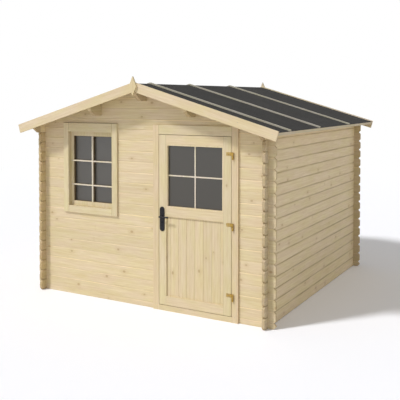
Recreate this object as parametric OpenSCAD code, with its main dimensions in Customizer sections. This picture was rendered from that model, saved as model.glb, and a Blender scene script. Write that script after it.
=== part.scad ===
// Log shed: interlocking log walls, a half-glazed boarded door, a six-light window and a felted gable roof.
// Origin: middle of the whole shed, on the ground. +X is to the right as one faces the door,
// +Y runs from the front to the back and +Z is up. Millimetres and degrees.

/* [Walls] */
// Width over the outer faces of the two side walls
wall_w = 2830; // [2500:10:3600]
// Depth over the outer faces of the front and back walls
wall_d = 2830; // [2000:10:4000]
// Thickness of a log
log_t = 28; // [22:1:40]
// Height of one log course
log_h = 114; // [110:1:130]
// Full courses in a side wall, the eave log included
side_courses = 17; // [17:1:20]
// How far a log end stands past the wall that it crosses
log_out = 80; // [50:1:140]
// Chamfer on the top and bottom corners of a log end
end_chamfer = 22; // [8:1:26]
// Bevel on the long edges of a log
log_bevel = 3; // [1:0.5:5]

/* [Roof] */
// Slope of the roof
roof_pitch = 16.3; // [12:0.1:24]
// Front wall to the outer face of the front barge boards
overhang_front = 210; // [120:5:400]
// Back wall to the outer face of the back barge boards
overhang_back = 190; // [120:5:400]
// Side wall to the lower edge of the roof boards
eave_out = 159; // [110:1:300]
// Thickness of the roof boards
deck_t = 18; // [14:1:24]
// Thickness of the roofing felt
felt_t = 3; // [2:0.5:6]
// Width of one strip of felt
felt_strip = 1040; // [700:10:1200]
// Front end of the felt to the middle of the first batten
front_batten = 295; // [150:5:500]
// Width of a batten on the felt
batten_w = 30; // [20:1:50]
// Height of a batten on the felt
batten_h = 14; // [8:1:24]

/* [Purlins] */
// Thickness of the ridge and side purlins
purlin_t = 44; // [34:1:60]
// Depth of the ridge purlin at its peak
ridge_h = 160; // [120:1:180]
// Depth of a side purlin at its middle
purlin_h = 147; // [110:1:160]
// Middle of the shed to the middle of a side purlin
purlin_x = 596; // [450:1:700]
// Height of the slanted cut under a purlin's end
tail_h = 60; // [30:1:90]
// Length of the slanted cut under a purlin's end
tail_len = 88; // [40:1:110]
// Height of the slanted cut under an eave log's end
eave_tail_h = 54; // [30:1:80]
// Length of the slanted cut under an eave log's end
eave_tail_len = 75; // [40:1:95]

/* [Roof edges] */
// Width of a barge board
barge_w = 96; // [80:1:140]
// Thickness of a barge board
barge_t = 20; // [15:1:28]
// How far a barge board stands above the felt
barge_rise = 12; // [4:1:30]
// How far a barge board reaches past the eave lath
barge_past = 5; // [0:1:30]
// Height of the lath along an eave
eave_lath_h = 28; // [22:1:60]
// Thickness of the lath along an eave
eave_lath_t = 18; // [12:1:28]
// Width of the lozenge on each gable's peak
finial_w = 90; // [60:1:140]
// Height of the lozenge on each gable's peak
finial_h = 200; // [150:1:280]
// Thickness of the lozenge on each gable's peak
finial_t = 20; // [12:1:28]
// Top of the barge boards' peak down to the middle of the lozenge
finial_drop = 42; // [20:1:70]

/* [Door] */
// Outer face of the right wall to the clear opening of the door
door_side = 379; // [330:1:440]
// Width of the door leaf
leaf_w = 844; // [760:1:880]
// Thickness of the door leaf
leaf_t = 40; // [34:1:50]
// Gap between the door leaf and its frame
leaf_gap = 5; // [5:0.5:8]
// Width of the door's two stiles
stile_w = 88; // [80:1:120]
// Height of the door's three rails
rail_h = 96; // [80:1:120]
// Bottom of the door leaf to the middle of its middle rail
mid_rail_z = 975; // [800:5:1050]
// Thickness of the door's lower boarding
panel_t = 18; // [14:1:24]
// How far the door's lower boarding lies behind the leaf's face
panel_inset = 15; // [6:1:16]
// Width of one board in the door's lower boarding
panel_board = 98; // [80:1:140]
// Width of the beads that hold the door glass
bead_w = 14; // [8:1:20]
// How far the front beads lie behind the leaf's face
bead_inset = 2; // [0:0.5:6]
// Thickness of the door and window glass
glass_t = 4; // [3:0.5:6]
// Face of the leaf to the face of its glass
door_glass_inset = 26; // [20:1:28]

/* [Frames and casings] */
// Thickness of the door and window frames
frame_t = 38; // [30:1:50]
// Inner face of the wall to the inner face of the door frame
frame_in = 20; // [12:1:40]
// Width of the stop that the closed door meets
stop_w = 12; // [10:1:25]
// Thickness of the casings outside
casing_t = 20; // [14:1:28]
// Width of the upright casings
casing_w = 68; // [55:1:90]
// Height of the casings over the door and the window
head_casing_h = 96; // [70:1:120]
// Height of the casing under the window
sill_casing_h = 75; // [60:1:110]

/* [Window] */
// Outer face of the left wall to the clear opening of the window
window_side = 385; // [340:1:440]
// Clear width inside the window frame
window_w = 606; // [500:1:640]
// Log courses that the window takes up
window_courses = 8; // [6:1:9]
// Outer face of the wall to the face of the sash
sash_inset = 30; // [12:1:60]
// Thickness of the sash
sash_t = 40; // [28:1:45]
// Back of the sash to the back of its glass
sash_glass_back = 6; // [3:1:12]
// Width of the sash's stiles
sash_stile = 36; // [22:1:60]
// Height of the sash's top rail
sash_top = 50; // [30:1:70]
// Height of the sash's bottom rail
sash_bottom = 50; // [30:1:70]

/* [Hinges] */
// Hinge axis to the edge of the door leaf
hinge_side = 19; // [16:1:24]
// Hinge axis in front of the leaf's face
hinge_front = 12; // [11:0.5:16]
// Radius of a hinge knuckle
knuckle_r = 9; // [7:0.5:10]
// Height of one hinge, both knuckles
hinge_h = 72; // [60:1:110]
// Radius of a hinge pin
pin_r = 4; // [3:0.5:5]
// Length of the hinge plate on the leaf
plate_len = 60; // [45:1:90]
// Height of the hinge plate on the leaf
plate_h = 34; // [24:1:36]
// Thickness of the hinge plate
plate_t = 3; // [2:0.5:4]
// Bottom of the leaf to the middle of the lowest hinge plate
hinge_low = 207; // [150:1:300]
// Top of the leaf to the middle of the highest hinge plate
hinge_high = 168; // [150:1:300]

/* [Handle] */
// Stop of the door frame to the edge of the inner handle plate
plate_clear = 5; // [5:0.5:12]
// Bottom of the leaf to the spindle
spindle_z = 926; // [880:1:940]
// Width of a handle plate
backplate_w = 56; // [40:1:60]
// Height of a handle plate
backplate_h = 256; // [220:1:280]
// Thickness of a handle plate
backplate_t = 6; // [4:0.5:9]
// Top of a handle plate to the spindle
backplate_up = 101; // [80:1:120]
// Spindle down to the middle of the keyhole
keyhole_drop = 64; // [50:1:90]
// Radius of the lever's neck
neck_r = 7; // [5:0.5:7.5]
// Handle plate's face to the middle of the grip
grip_out = 44; // [35:1:60]
// Radius of the lever's grip
grip_r = 8.5; // [8:0.5:11]
// Length of the lever's grip from the spindle
grip_len = 104; // [80:1:130]

/* [Floor] */
// Thickness of the floor boards
floor_t = 18; // [16:1:28]
// Width of a floor bearer
bearer_w = 58; // [38:1:80]
// Number of floor bearers
bearer_count = 7; // [5:2:9]

/* [Hidden] */
$fn = 48;
eps = 1;
pin_play = 0.06;
seat_gap = 0.2;
spindle_r = 4;
spindle_clear = 1;
keyhole_r = 4.5;
keyway_w = 4;
keyway_h = 12;
knuckle_gap = 1;
half_h = log_h / 2;
lap_rise = log_h / 4;
half_w = wall_w / 2;
roof_len = wall_d + overhang_front + overhang_back;
roof_y0 = -roof_len / 2;
roof_y1 = roof_len / 2;
front_y = roof_y0 + overhang_front;
back_y = roof_y1 - overhang_back;
deck_y0 = roof_y0 + barge_t;
deck_y1 = roof_y1 - barge_t;
log_end_x = half_w + log_out;
log_y0 = front_y - log_out;
log_y1 = back_y + log_out;

// Heights of the log joints. Side walls start with a whole log, front and back walls with half a log.
front_courses = side_courses - 1;
wall_top = front_courses * log_h + half_h;
side_top = front_courses * log_h;
side_joints = [for (i = [0:front_courses]) i * log_h];
front_joints = [for (i = [0:front_courses]) half_h + i * log_h];

// Roof planes: the beams' tops pass over the middle of the side walls at the eave log's top, and the roof
// boards lie on them.
slope = tan(roof_pitch);
eave_ref_x = half_w - log_t / 2;
ridge_under = side_courses * log_h + eave_ref_x * slope;
down = [cos(roof_pitch), -sin(roof_pitch)];
out = [sin(roof_pitch), cos(roof_pitch)];
deck_ridge = ridge_under + seat_gap / cos(roof_pitch);
deck_end = [half_w + eave_out, deck_ridge - (half_w + eave_out) * slope];
lath_end = deck_end + seat_gap * down;
felt_end = lath_end + eave_lath_t * down;
barge_end = felt_end + barge_past * down;
felt_low = deck_t + seat_gap;
felt_top = felt_low + felt_t;
barge_top = felt_top + barge_rise;
peak_z = deck_ridge + barge_top / cos(roof_pitch);
purlin_x0 = purlin_x - purlin_t / 2;
purlin_x1 = purlin_x + purlin_t / 2;
side_purlin_z = under(purlin_x) - purlin_h;
gable_courses = ceil((ridge_under - wall_top) / log_h);
gable_joints = [for (i = [0:gable_courses]) wall_top + i * log_h];

// Door and window openings in the logs.
door_x = half_w - door_side - leaf_gap - leaf_w / 2;
leaf_x0 = door_x - leaf_w / 2;
leaf_x1 = door_x + leaf_w / 2;
clear_x0 = leaf_x0 - leaf_gap;
clear_x1 = leaf_x1 + leaf_gap;
door_hole_x0 = clear_x0 - frame_t;
door_hole_x1 = clear_x1 + frame_t;
head_z = wall_top - frame_t;
leaf_z0 = half_h + leaf_gap;
leaf_z1 = head_z - leaf_gap;
leaf_face = front_y - casing_t;
leaf_back = leaf_face + leaf_t;
stop_y = leaf_back + leaf_gap;
frame_back = front_y + log_t + frame_in;
win_x0 = window_side - half_w;
win_x1 = win_x0 + window_w;
win_hole_x0 = win_x0 - frame_t;
win_hole_x1 = win_x1 + frame_t;
win_hole_z = wall_top - window_courses * log_h;
win_z0 = win_hole_z + frame_t;
sash_y = front_y + sash_inset;
head_casing_z = head_z + head_casing_h;

// Door leaf.
field_x0 = leaf_x0 + stile_w;
field_x1 = leaf_x1 - stile_w;
mid_z = leaf_z0 + mid_rail_z;
panel_z0 = leaf_z0 + rail_h;
panel_z1 = mid_z - rail_h / 2;
light_z0 = mid_z + rail_h / 2;
light_z1 = leaf_z1 - rail_h;
glass_y = leaf_face + door_glass_inset;

// Hinges: the plates and upper knuckles move with the door, the lower knuckles and pins stay.
axis_x = leaf_x1 + hinge_side;
axis_y = leaf_face - hinge_front;
hinge_zs = [leaf_z0 + hinge_low, (leaf_z0 + hinge_low + leaf_z1 - hinge_high) / 2, leaf_z1 - hinge_high];

// Handle.
handle_x = clear_x0 + stop_w + plate_clear + backplate_w / 2;
spindle_height = leaf_z0 + spindle_z;
plate_top_z = spindle_height + backplate_up;

// Colours.
spruce = [0.87, 0.78, 0.60];
spruce_end = [0.78, 0.68, 0.50];
felt_grey = [0.24, 0.24, 0.25];
pane_grey = [0.42, 0.41, 0.40, 0.75];
brass = [0.72, 0.56, 0.24];
iron = [0.16, 0.16, 0.18];

// Height of the beams' and gables' tops at a distance x from the middle.
function under(x) = ridge_under - abs(x) * slope;

// Cross-section of a stack of logs with bevelled long edges: [thickness, height] points.
function stack_section(zs) = concat(
    [for (i = [0:len(zs) - 2]) each [
        [log_bevel, zs[i]],
        [0, zs[i] + log_bevel],
        [0, zs[i + 1] - log_bevel]
    ]],
    [[log_bevel, zs[len(zs) - 1]], [log_t - log_bevel, zs[len(zs) - 1]]],
    [for (i = [len(zs) - 2:-1:0]) each [
        [log_t, zs[i + 1] - log_bevel],
        [log_t, zs[i] + log_bevel],
        [log_t - log_bevel, zs[i]]
    ]]
);

// Chamfered ends of the logs in a stack, from the bottom up, standing at x and facing side (+1 or -1).
function end_points(zs, x, side) = concat(
    [for (i = [0:len(zs) - 2]) each [
        [x - side * end_chamfer, zs[i]],
        [x, zs[i] + end_chamfer],
        [x, zs[i + 1] - end_chamfer]
    ]],
    [[x - side * end_chamfer, zs[len(zs) - 1]]]
);

// A straight upright end of a stack.
function plain_end(zs, x) = [[x, zs[0]], [x, zs[len(zs) - 1]]];

function reversed(list) = [for (i = [len(list) - 1:-1:0]) list[i]];

// Elevation of a stack between its left and right ends.
function stack_outline(left, right) = concat(right, reversed(left));

// Elevation of a stack that runs over the whole width.
function full_outline(zs) = stack_outline(end_points(zs, -log_end_x, -1), end_points(zs, log_end_x, 1));

// Extrudes an elevation, drawn as [x, z], from y0 to y1.
module from_front(y0, y1) {
    translate([0, y1, 0])
        rotate([90, 0, 0])
            linear_extrude(y1 - y0)
                children();
}

// Extrudes a side view, drawn as [y, z], from x0 to x1.
module from_side(x0, x1) {
    translate([x0, 0, 0])
        rotate([90, 0, 90])
            linear_extrude(x1 - x0)
                children();
}

// Extrudes a plan from z0 to z1.
module from_above(z0, z1) {
    translate([0, 0, z0])
        linear_extrude(z1 - z0)
            children();
}

module box(x0, x1, y0, y1, z0, z1) {
    translate([x0, y0, z0])
        cube([x1 - x0, y1 - y0, z1 - z0]);
}

// Places its child and the same shape mirrored across the middle of the shed.
module both_sides() {
    children();
    mirror([1, 0, 0])
        children();
}

// A log wall lying along X with its outer face at y = 0. At each place in crossings the logs of the other
// wall pass through, and the half-laps let them in at the heights in laps.
module log_stack(zs, outline, crossings, laps) {
    long = wall_w + wall_d;
    difference() {
        intersection() {
            from_side(-long, long)
                polygon(stack_section(zs));
            from_front(-eps, log_t + eps)
                polygon(outline);
        }
        for (x = crossings, z = laps)
            box(x, x + log_t, -eps, log_t + eps, z, z + half_h);
    }
}

// Laps that a front or back wall leaves for the side walls' logs, and the other way round.
laps_for_sides = [for (i = [0:front_courses]) i * log_h + lap_rise];
laps_for_fronts = [for (i = [0:front_courses]) i * log_h - lap_rise];
corner_xs = [-half_w, half_w - log_t];
corner_ys = [front_y, back_y - log_t];

module place_front() {
    translate([0, front_y, 0])
        children();
}

module place_back() {
    translate([0, back_y, 0])
        mirror([0, 1, 0])
            children();
}

// Turns a wall drawn along X so that it runs along Y with its outer face on the left side.
module place_left() {
    translate([-half_w, 0, 0])
        mirror([1, 0, 0])
            rotate([0, 0, 90])
                children();
}

module place_right() {
    mirror([1, 0, 0])
        place_left()
            children();
}

// The part of a gable that lies under the roof boards.
module under_roof(z0) {
    polygon([[-log_end_x, z0], [log_end_x, z0], [log_end_x, under(log_end_x)],
        [0, ridge_under], [-log_end_x, under(log_end_x)]]);
}

module gable_wall() {
    difference() {
        intersection() {
            log_stack(gable_joints, full_outline(gable_joints), corner_xs, [side_top + lap_rise]);
            from_front(-2 * eps, log_t + 2 * eps)
                under_roof(wall_top);
        }
        from_front(-log_t, 2 * log_t)
            polygon(ridge_section(log_t));
        both_sides()
            from_front(-log_t, 2 * log_t)
                polygon(purlin_section(log_t));
    }
}

module front_sill_log() {
    color(spruce)
        place_front()
            half_log();
}

// The half log on the ground that starts the front and back walls.
module half_log() {
    zs = [0, half_h];
    log_stack(zs, full_outline(zs), corner_xs, laps_for_sides);
}

module front_wall_left() {
    color(spruce)
        place_front()
            difference() {
                log_stack(front_joints,
                    stack_outline(end_points(front_joints, -log_end_x, -1),
                        plain_end(front_joints, door_hole_x0)),
                    corner_xs, laps_for_sides);
                box(win_hole_x0, win_hole_x1, -2 * eps, log_t + 2 * eps, win_hole_z, wall_top + eps);
            }
}

module front_wall_right() {
    color(spruce)
        place_front()
            log_stack(front_joints,
                stack_outline(plain_end(front_joints, door_hole_x1),
                    end_points(front_joints, log_end_x, 1)),
                corner_xs, laps_for_sides);
}

module front_gable() {
    color(spruce)
        place_front()
            gable_wall();
}

module back_wall() {
    zs = concat([0], front_joints);
    color(spruce)
        place_back()
            log_stack(zs, full_outline(zs), corner_xs, laps_for_sides);
}

module back_gable() {
    color(spruce)
        place_back()
            gable_wall();
}

module side_wall() {
    log_stack(side_joints,
        stack_outline(end_points(side_joints, log_y0, -1), end_points(side_joints, log_y1, 1)),
        corner_ys, laps_for_fronts);
}

module left_wall() {
    color(spruce)
        place_left()
            side_wall();
}

module right_wall() {
    color(spruce)
        place_right()
            side_wall();
}

// Side view of a beam that runs from one barge board to the other, with its ends cut away below.
function beam_side(z0, z1, cut_h, cut_len) = [
    [deck_y0, z0 + cut_h],
    [deck_y0 + cut_len, z0],
    [deck_y1 - cut_len, z0],
    [deck_y1, z0 + cut_h],
    [deck_y1, z1],
    [deck_y0, z1]
];

// Top log of each side wall. It runs on to the barge boards and is bevelled to the roof.
module eave_logs() {
    top = under(half_w - log_t);
    color(spruce)
        both_sides()
            difference() {
                intersection() {
                    from_front(deck_y0, deck_y1)
                        polygon([
                            [half_w - log_t, side_top + log_bevel],
                            [half_w - log_t + log_bevel, side_top],
                            [half_w - log_bevel, side_top],
                            [half_w, side_top + log_bevel],
                            [half_w, under(half_w)],
                            [half_w - log_t, top]
                        ]);
                    from_side(half_w - 2 * log_t, half_w + log_t)
                        polygon(beam_side(side_top, top + log_h, eave_tail_h, eave_tail_len));
                }
                for (y = corner_ys, z = [side_top - lap_rise, side_top + log_h - lap_rise])
                    box(half_w - log_t - eps, half_w + eps, y, y + log_t, z, z + half_h);
            }
}

// Cross-section of the ridge purlin, with its top standing above the roof line by rise.
function ridge_section(rise) = [
    [-purlin_t / 2, ridge_under - ridge_h],
    [purlin_t / 2, ridge_under - ridge_h],
    [purlin_t / 2, under(purlin_t / 2) + rise],
    [0, ridge_under + rise],
    [-purlin_t / 2, under(purlin_t / 2) + rise]
];

module ridge_purlin() {
    color(spruce)
        intersection() {
            from_front(deck_y0, deck_y1)
                polygon(ridge_section(0));
            from_side(-purlin_t, purlin_t)
                polygon(beam_side(ridge_under - ridge_h, ridge_under + eps, tail_h, tail_len));
        }
}

// Cross-section of the right-hand side purlin, with its top standing above the roof line by rise.
function purlin_section(rise) = [
    [purlin_x0, side_purlin_z],
    [purlin_x1, side_purlin_z],
    [purlin_x1, under(purlin_x1) + rise],
    [purlin_x0, under(purlin_x0) + rise]
];

module side_purlins() {
    color(spruce)
        both_sides()
            intersection() {
                from_front(deck_y0, deck_y1)
                    polygon(purlin_section(0));
                from_side(purlin_x0 - eps, purlin_x1 + eps)
                    polygon(beam_side(side_purlin_z, under(purlin_x0) + eps, tail_h, tail_len));
            }
}

// Right-hand layer of the roof, from low to high above the boards' underside, ending square at edge.
module roof_layer(low, high, edge, y0, y1) {
    from_front(y0, y1)
        polygon([
            [0, deck_ridge + low / cos(roof_pitch)],
            edge + low * out,
            edge + high * out,
            [0, deck_ridge + high / cos(roof_pitch)]
        ]);
}

module right_roof_boards() {
    color(spruce)
        roof_layer(0, deck_t, deck_end, deck_y0, deck_y1);
}

module left_roof_boards() {
    mirror([1, 0, 0])
        right_roof_boards();
}

module right_felt() {
    color(felt_grey)
        roof_layer(felt_low, felt_top, felt_end, deck_y0, deck_y1);
}

module left_felt() {
    mirror([1, 0, 0])
        right_felt();
}

// Battens over the felt: one near the front and one on each seam between the strips.
seam_count = floor((deck_y1 - deck_y0 - front_batten) / felt_strip);
batten_ys = concat([deck_y0 + front_batten], [for (i = [1:seam_count]) deck_y1 + barge_t - i * felt_strip]);

module felt_battens() {
    color(spruce_end)
        for (y = batten_ys)
            both_sides()
                roof_layer(felt_top, felt_top + batten_h, felt_end, y - batten_w / 2, y + batten_w / 2);
}

module barge_board(y0) {
    color(spruce)
        roof_layer(barge_top - barge_w, barge_top, barge_end, y0, y0 + barge_t);
}

module front_right_barge_board() {
    barge_board(roof_y0);
}

module front_left_barge_board() {
    mirror([1, 0, 0])
        barge_board(roof_y0);
}

module back_right_barge_board() {
    barge_board(deck_y1);
}

module back_left_barge_board() {
    mirror([1, 0, 0])
        barge_board(deck_y1);
}

module finials() {
    mid = peak_z - finial_drop;
    color(spruce)
        for (y = [roof_y0 - finial_t, roof_y1])
            from_front(y, y + finial_t)
                polygon([
                    [0, mid + finial_h / 2],
                    [finial_w / 2, mid],
                    [0, mid - finial_h / 2],
                    [-finial_w / 2, mid]
                ]);
}

module eave_laths() {
    color(spruce)
        both_sides()
            from_front(deck_y0, deck_y1)
                polygon([
                    lath_end + deck_t * out,
                    felt_end + deck_t * out,
                    felt_end + (deck_t - eave_lath_h) * out,
                    lath_end + (deck_t - eave_lath_h) * out
                ]);
}

// Door frame. The jambs line the opening, lap the logs inside and carry the stop for the leaf.
module door_jambs() {
    color(spruce)
        translate([door_x, 0, 0])
            both_sides()
                translate([-door_x, 0, 0])
                    from_above(half_h, head_z)
                        polygon([
                            [clear_x1, front_y], [door_hole_x1, front_y],
                            [door_hole_x1, front_y + log_t], [door_hole_x1 + frame_in, front_y + log_t],
                            [door_hole_x1 + frame_in, frame_back], [clear_x1 - stop_w, frame_back],
                            [clear_x1 - stop_w, stop_y], [clear_x1, stop_y]
                        ]);
}

module door_head() {
    color(spruce) {
        box(door_hole_x0, door_hole_x1, front_y, front_y + log_t, head_z, wall_top);
        box(door_hole_x0 - frame_in, door_hole_x1 + frame_in, front_y + log_t, frame_back,
            head_z, wall_top + frame_in);
        box(clear_x0 + stop_w, clear_x1 - stop_w, stop_y, frame_back, head_z - stop_w, head_z);
    }
}

// Board under the door, flush with the leaf, and the strip behind it that the leaf closes on.
module door_threshold() {
    color(spruce) {
        box(clear_x0, clear_x1, leaf_face, front_y, 0, half_h);
        box(clear_x0 + stop_w, clear_x1 - stop_w, stop_y, frame_back, half_h, leaf_z0 + stop_w);
    }
}

module door_side_casings() {
    color(spruce)
        for (x = [clear_x0 - casing_w, clear_x1])
            box(x, x + casing_w, leaf_face, front_y, 0, head_casing_z);
}

module door_head_casing() {
    color(spruce)
        box(clear_x0, clear_x1, leaf_face, front_y, head_z, head_casing_z);
}

module door_stiles() {
    color(spruce)
        difference() {
            for (x = [leaf_x0, field_x1])
                box(x, x + stile_w, leaf_face, leaf_back, leaf_z0, leaf_z1);
            translate([handle_x, leaf_back + eps, spindle_height])
                rotate([90, 0, 0])
                    cylinder(r = spindle_r + spindle_clear, h = leaf_t + 2 * eps);
        }
}

module door_rails() {
    color(spruce)
        for (z = [leaf_z0, panel_z1, light_z1])
            box(field_x0, field_x1, leaf_face, leaf_back, z, z + rail_h);
}

// Lower boarding: boards meet in shallow V joints, laid out from the middle.
module door_boarding() {
    y0 = leaf_face + panel_inset;
    v = log_bevel;
    last = floor((field_x1 - door_x) / panel_board);
    joints = [for (i = [-last:last]) door_x + i * panel_board];
    color(spruce)
        difference() {
            box(field_x0, field_x1, y0, y0 + panel_t, panel_z0, panel_z1);
            for (x = joints, y = [y0, y0 + panel_t])
                translate([x, y, panel_z0 - eps])
                    rotate([0, 0, 45])
                        translate([-v / 2, -v / 2, 0])
                            cube([v, v, panel_z1 - panel_z0 + 2 * eps]);
        }
}

module door_glass() {
    color(pane_grey)
        box(field_x0, field_x1, glass_y, glass_y + glass_t, light_z0, light_z1);
}

// Beads in front of and behind the door glass.
module door_glass_beads() {
    color(spruce)
        for (y = [[leaf_face + bead_inset, glass_y], [glass_y + glass_t, leaf_back]])
            difference() {
                box(field_x0, field_x1, y[0], y[1], light_z0, light_z1);
                box(field_x0 + bead_w, field_x1 - bead_w, y[0] - eps, y[1] + eps,
                    light_z0 + bead_w, light_z1 - bead_w);
            }
}

// Moving half of each hinge: the plate on the leaf, its neck and the upper knuckle.
module hinge_plates() {
    color(brass)
        for (z = hinge_zs)
            difference() {
                union() {
                    box(leaf_x1 + leaf_gap - plate_len, leaf_x1 + leaf_gap, leaf_face - plate_t, leaf_face,
                        z - plate_h / 2, z + plate_h / 2);
                    box(leaf_x1 - plate_t, axis_x, axis_y, leaf_face - plate_t,
                        z - plate_h / 2, z + plate_h / 2);
                    translate([axis_x, axis_y, z - plate_h / 2])
                        cylinder(r = knuckle_r, h = plate_h);
                }
                translate([axis_x, axis_y, z - plate_h / 2 - eps])
                    cylinder(r = pin_r + pin_play, h = plate_h - pin_r + eps);
            }
}

// Fixed half of each hinge: the lower knuckle with its pin and the shank that goes into the casing.
module hinge_pins() {
    low_h = hinge_h - plate_h - knuckle_gap;
    color(brass)
        for (z = hinge_zs) {
            translate([axis_x, axis_y, z - plate_h / 2 - knuckle_gap - low_h])
                cylinder(r = knuckle_r, h = low_h);
            translate([axis_x, axis_y, z - plate_h / 2 - knuckle_gap - eps])
                cylinder(r = pin_r, h = knuckle_gap + eps + plate_h - 2 * pin_r);
            translate([axis_x, leaf_face, z - plate_h / 2 - knuckle_gap - low_h / 2])
                rotate([90, 0, 0])
                    cylinder(r = pin_r, h = hinge_front);
        }
}

// A handle plate with round ends, drawn as [x, z], the keyhole cut out.
module backplate_shape() {
    r = backplate_w / 2;
    difference() {
        hull() {
            translate([0, backplate_up - r])
                circle(r = r);
            translate([0, backplate_up - backplate_h + r])
                circle(r = r);
        }
        circle(r = neck_r + pin_play);
        translate([0, -keyhole_drop])
            circle(r = keyhole_r);
        translate([-keyway_w / 2, -keyhole_drop - keyway_h])
            square([keyway_w, keyway_h]);
    }
}

module handle_plates() {
    color(iron)
        for (y = [leaf_face - backplate_t, leaf_back])
            translate([handle_x, 0, spindle_height])
                from_front(y, y + backplate_t)
                    backplate_shape();
}

// A straight round bar with ball ends, from x0 to x1 along X.
module round_bar(r, x0, x1) {
    long = x1 - x0;
    translate([x0, 0, 0])
        rotate([0, 90, 0])
            rotate_extrude()
                intersection() {
                    union() {
                        translate([0, r])
                            circle(r = r);
                        translate([0, r])
                            square([r, long - 2 * r]);
                        translate([0, long - r])
                            circle(r = r);
                    }
                    square([r, long]);
                }
}

// The two levers on their spindle.
module lever_handle() {
    reach = leaf_t / 2 + backplate_t + grip_out;
    color(iron)
        translate([handle_x, leaf_face + leaf_t / 2, spindle_height]) {
            rotate([90, 0, 0])
                cylinder(r = spindle_r, h = leaf_t + backplate_t, center = true);
            for (s = [0, 1])
                mirror([0, s, 0]) {
                    translate([0, -leaf_t / 2 - backplate_t / 2, 0])
                        rotate([90, 0, 0])
                            cylinder(r = neck_r, h = grip_out + backplate_t / 2);
                    translate([0, -reach, 0])
                        round_bar(grip_r, -grip_r - neck_r, grip_len);
                }
        }
}

// Window frame: four members that line the opening.
module window_frame() {
    color(spruce)
        difference() {
            box(win_hole_x0, win_hole_x1, front_y, sash_y + sash_t, win_hole_z, wall_top);
            box(win_x0, win_x1, front_y - eps, sash_y + sash_t + eps, win_z0, head_z);
        }
}

module window_sash() {
    color(spruce)
        difference() {
            box(win_x0, win_x1, sash_y, sash_y + sash_t, win_z0, head_z);
            box(win_x0 + sash_stile, win_x1 - sash_stile, sash_y - eps, sash_y + sash_t + eps,
                win_z0 + sash_bottom, head_z - sash_top);
        }
}

module window_glass() {
    back = sash_y + sash_t - sash_glass_back;
    color(pane_grey)
        box(win_x0 + sash_stile, win_x1 - sash_stile, back - glass_t, back,
            win_z0 + sash_bottom, head_z - sash_top);
}

module window_side_casings() {
    color(spruce)
        for (x = [win_x0 - casing_w, win_x1])
            box(x, x + casing_w, leaf_face, front_y, win_z0 - sill_casing_h, head_casing_z);
}

module window_head_and_sill_casings() {
    color(spruce) {
        box(win_x0, win_x1, leaf_face, front_y, head_z, head_casing_z);
        box(win_x0, win_x1, leaf_face, front_y, win_z0 - sill_casing_h, win_z0);
    }
}

// Floor, level with the top of the half log under the door.
floor_x = half_w - log_t;
floor_y0 = front_y + log_t;
floor_y1 = back_y - log_t;

module floor_boards() {
    color(spruce)
        box(-floor_x, floor_x, floor_y0, floor_y1, half_h - floor_t, half_h);
}

module floor_bearers() {
    pitch = (2 * floor_x - bearer_w) / (bearer_count - 1);
    color(spruce_end)
        for (i = [0:bearer_count - 1])
            translate([-floor_x + i * pitch, 0, 0])
                box(0, bearer_w, floor_y0, floor_y1, 0, half_h - floor_t);
}

front_sill_log();
front_wall_left();
front_wall_right();
front_gable();
back_wall();
back_gable();
left_wall();
right_wall();
eave_logs();
ridge_purlin();
side_purlins();
left_roof_boards();
right_roof_boards();
left_felt();
right_felt();
felt_battens();
front_left_barge_board();
front_right_barge_board();
back_left_barge_board();
back_right_barge_board();
finials();
eave_laths();
door_jambs();
door_head();
door_threshold();
door_side_casings();
door_head_casing();
door_stiles();
door_rails();
door_boarding();
door_glass();
door_glass_beads();
hinge_plates();
hinge_pins();
handle_plates();
lever_handle();
window_frame();
window_sash();
window_glass();
window_side_casings();
window_head_and_sill_casings();
floor_boards();
floor_bearers();
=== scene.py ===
"""Looks of a log shed: finishes, boards, bars, fittings and studio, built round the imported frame.

Metres throughout, in the frame's own axes: the door and window side faces -Y, and +Z is up.
"""

import logging
import math
from dataclasses import dataclass
from enum import Enum
from typing import Iterable, Optional, Sequence, Union

import bmesh
import bpy
from mathutils import Matrix, Vector


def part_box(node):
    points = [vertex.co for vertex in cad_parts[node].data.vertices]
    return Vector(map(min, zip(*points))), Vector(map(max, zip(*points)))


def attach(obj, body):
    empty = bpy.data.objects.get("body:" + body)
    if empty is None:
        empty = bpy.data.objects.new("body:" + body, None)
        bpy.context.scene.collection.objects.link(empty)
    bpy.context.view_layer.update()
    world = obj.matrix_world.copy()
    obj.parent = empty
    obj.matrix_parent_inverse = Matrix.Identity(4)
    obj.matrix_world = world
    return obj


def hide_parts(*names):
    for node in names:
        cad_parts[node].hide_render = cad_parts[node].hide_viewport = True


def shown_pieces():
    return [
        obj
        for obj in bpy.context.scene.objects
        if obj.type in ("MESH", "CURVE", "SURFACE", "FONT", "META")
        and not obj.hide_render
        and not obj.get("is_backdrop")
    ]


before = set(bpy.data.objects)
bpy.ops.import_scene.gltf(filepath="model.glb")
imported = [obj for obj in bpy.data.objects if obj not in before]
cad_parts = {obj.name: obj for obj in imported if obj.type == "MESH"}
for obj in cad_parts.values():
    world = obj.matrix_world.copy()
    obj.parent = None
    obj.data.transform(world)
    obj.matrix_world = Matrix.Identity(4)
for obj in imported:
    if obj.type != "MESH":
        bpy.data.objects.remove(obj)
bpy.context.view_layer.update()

log = logging.getLogger("shed")

Socket = bpy.types.NodeSocket
Value = Union[Socket, float, tuple]
Point = tuple[float, float, float]
Band = tuple[float, ...]

ROOF_PITCH = math.radians(16.3)
FAR = 9.0  # Well outside the shed on any side.


class Axis(Enum):
    """One of the frame's three directions."""

    X = 0
    Y = 1
    Z = 2


class Blend(Enum):
    """How one colour is laid over another."""

    MIX = "MIX"
    MULTIPLY = "MULTIPLY"


class Reading(Enum):
    """What a node tree reads at a point."""

    PLACE = "Object"
    FACING = "Normal"
    DIRECTION = "Generated"


class Body(Enum):
    """The bodies that the scene's own pieces ride on."""

    SHED = "shed"
    DOOR = "door"


# ---------------------------------------------------------------- node trees


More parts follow.
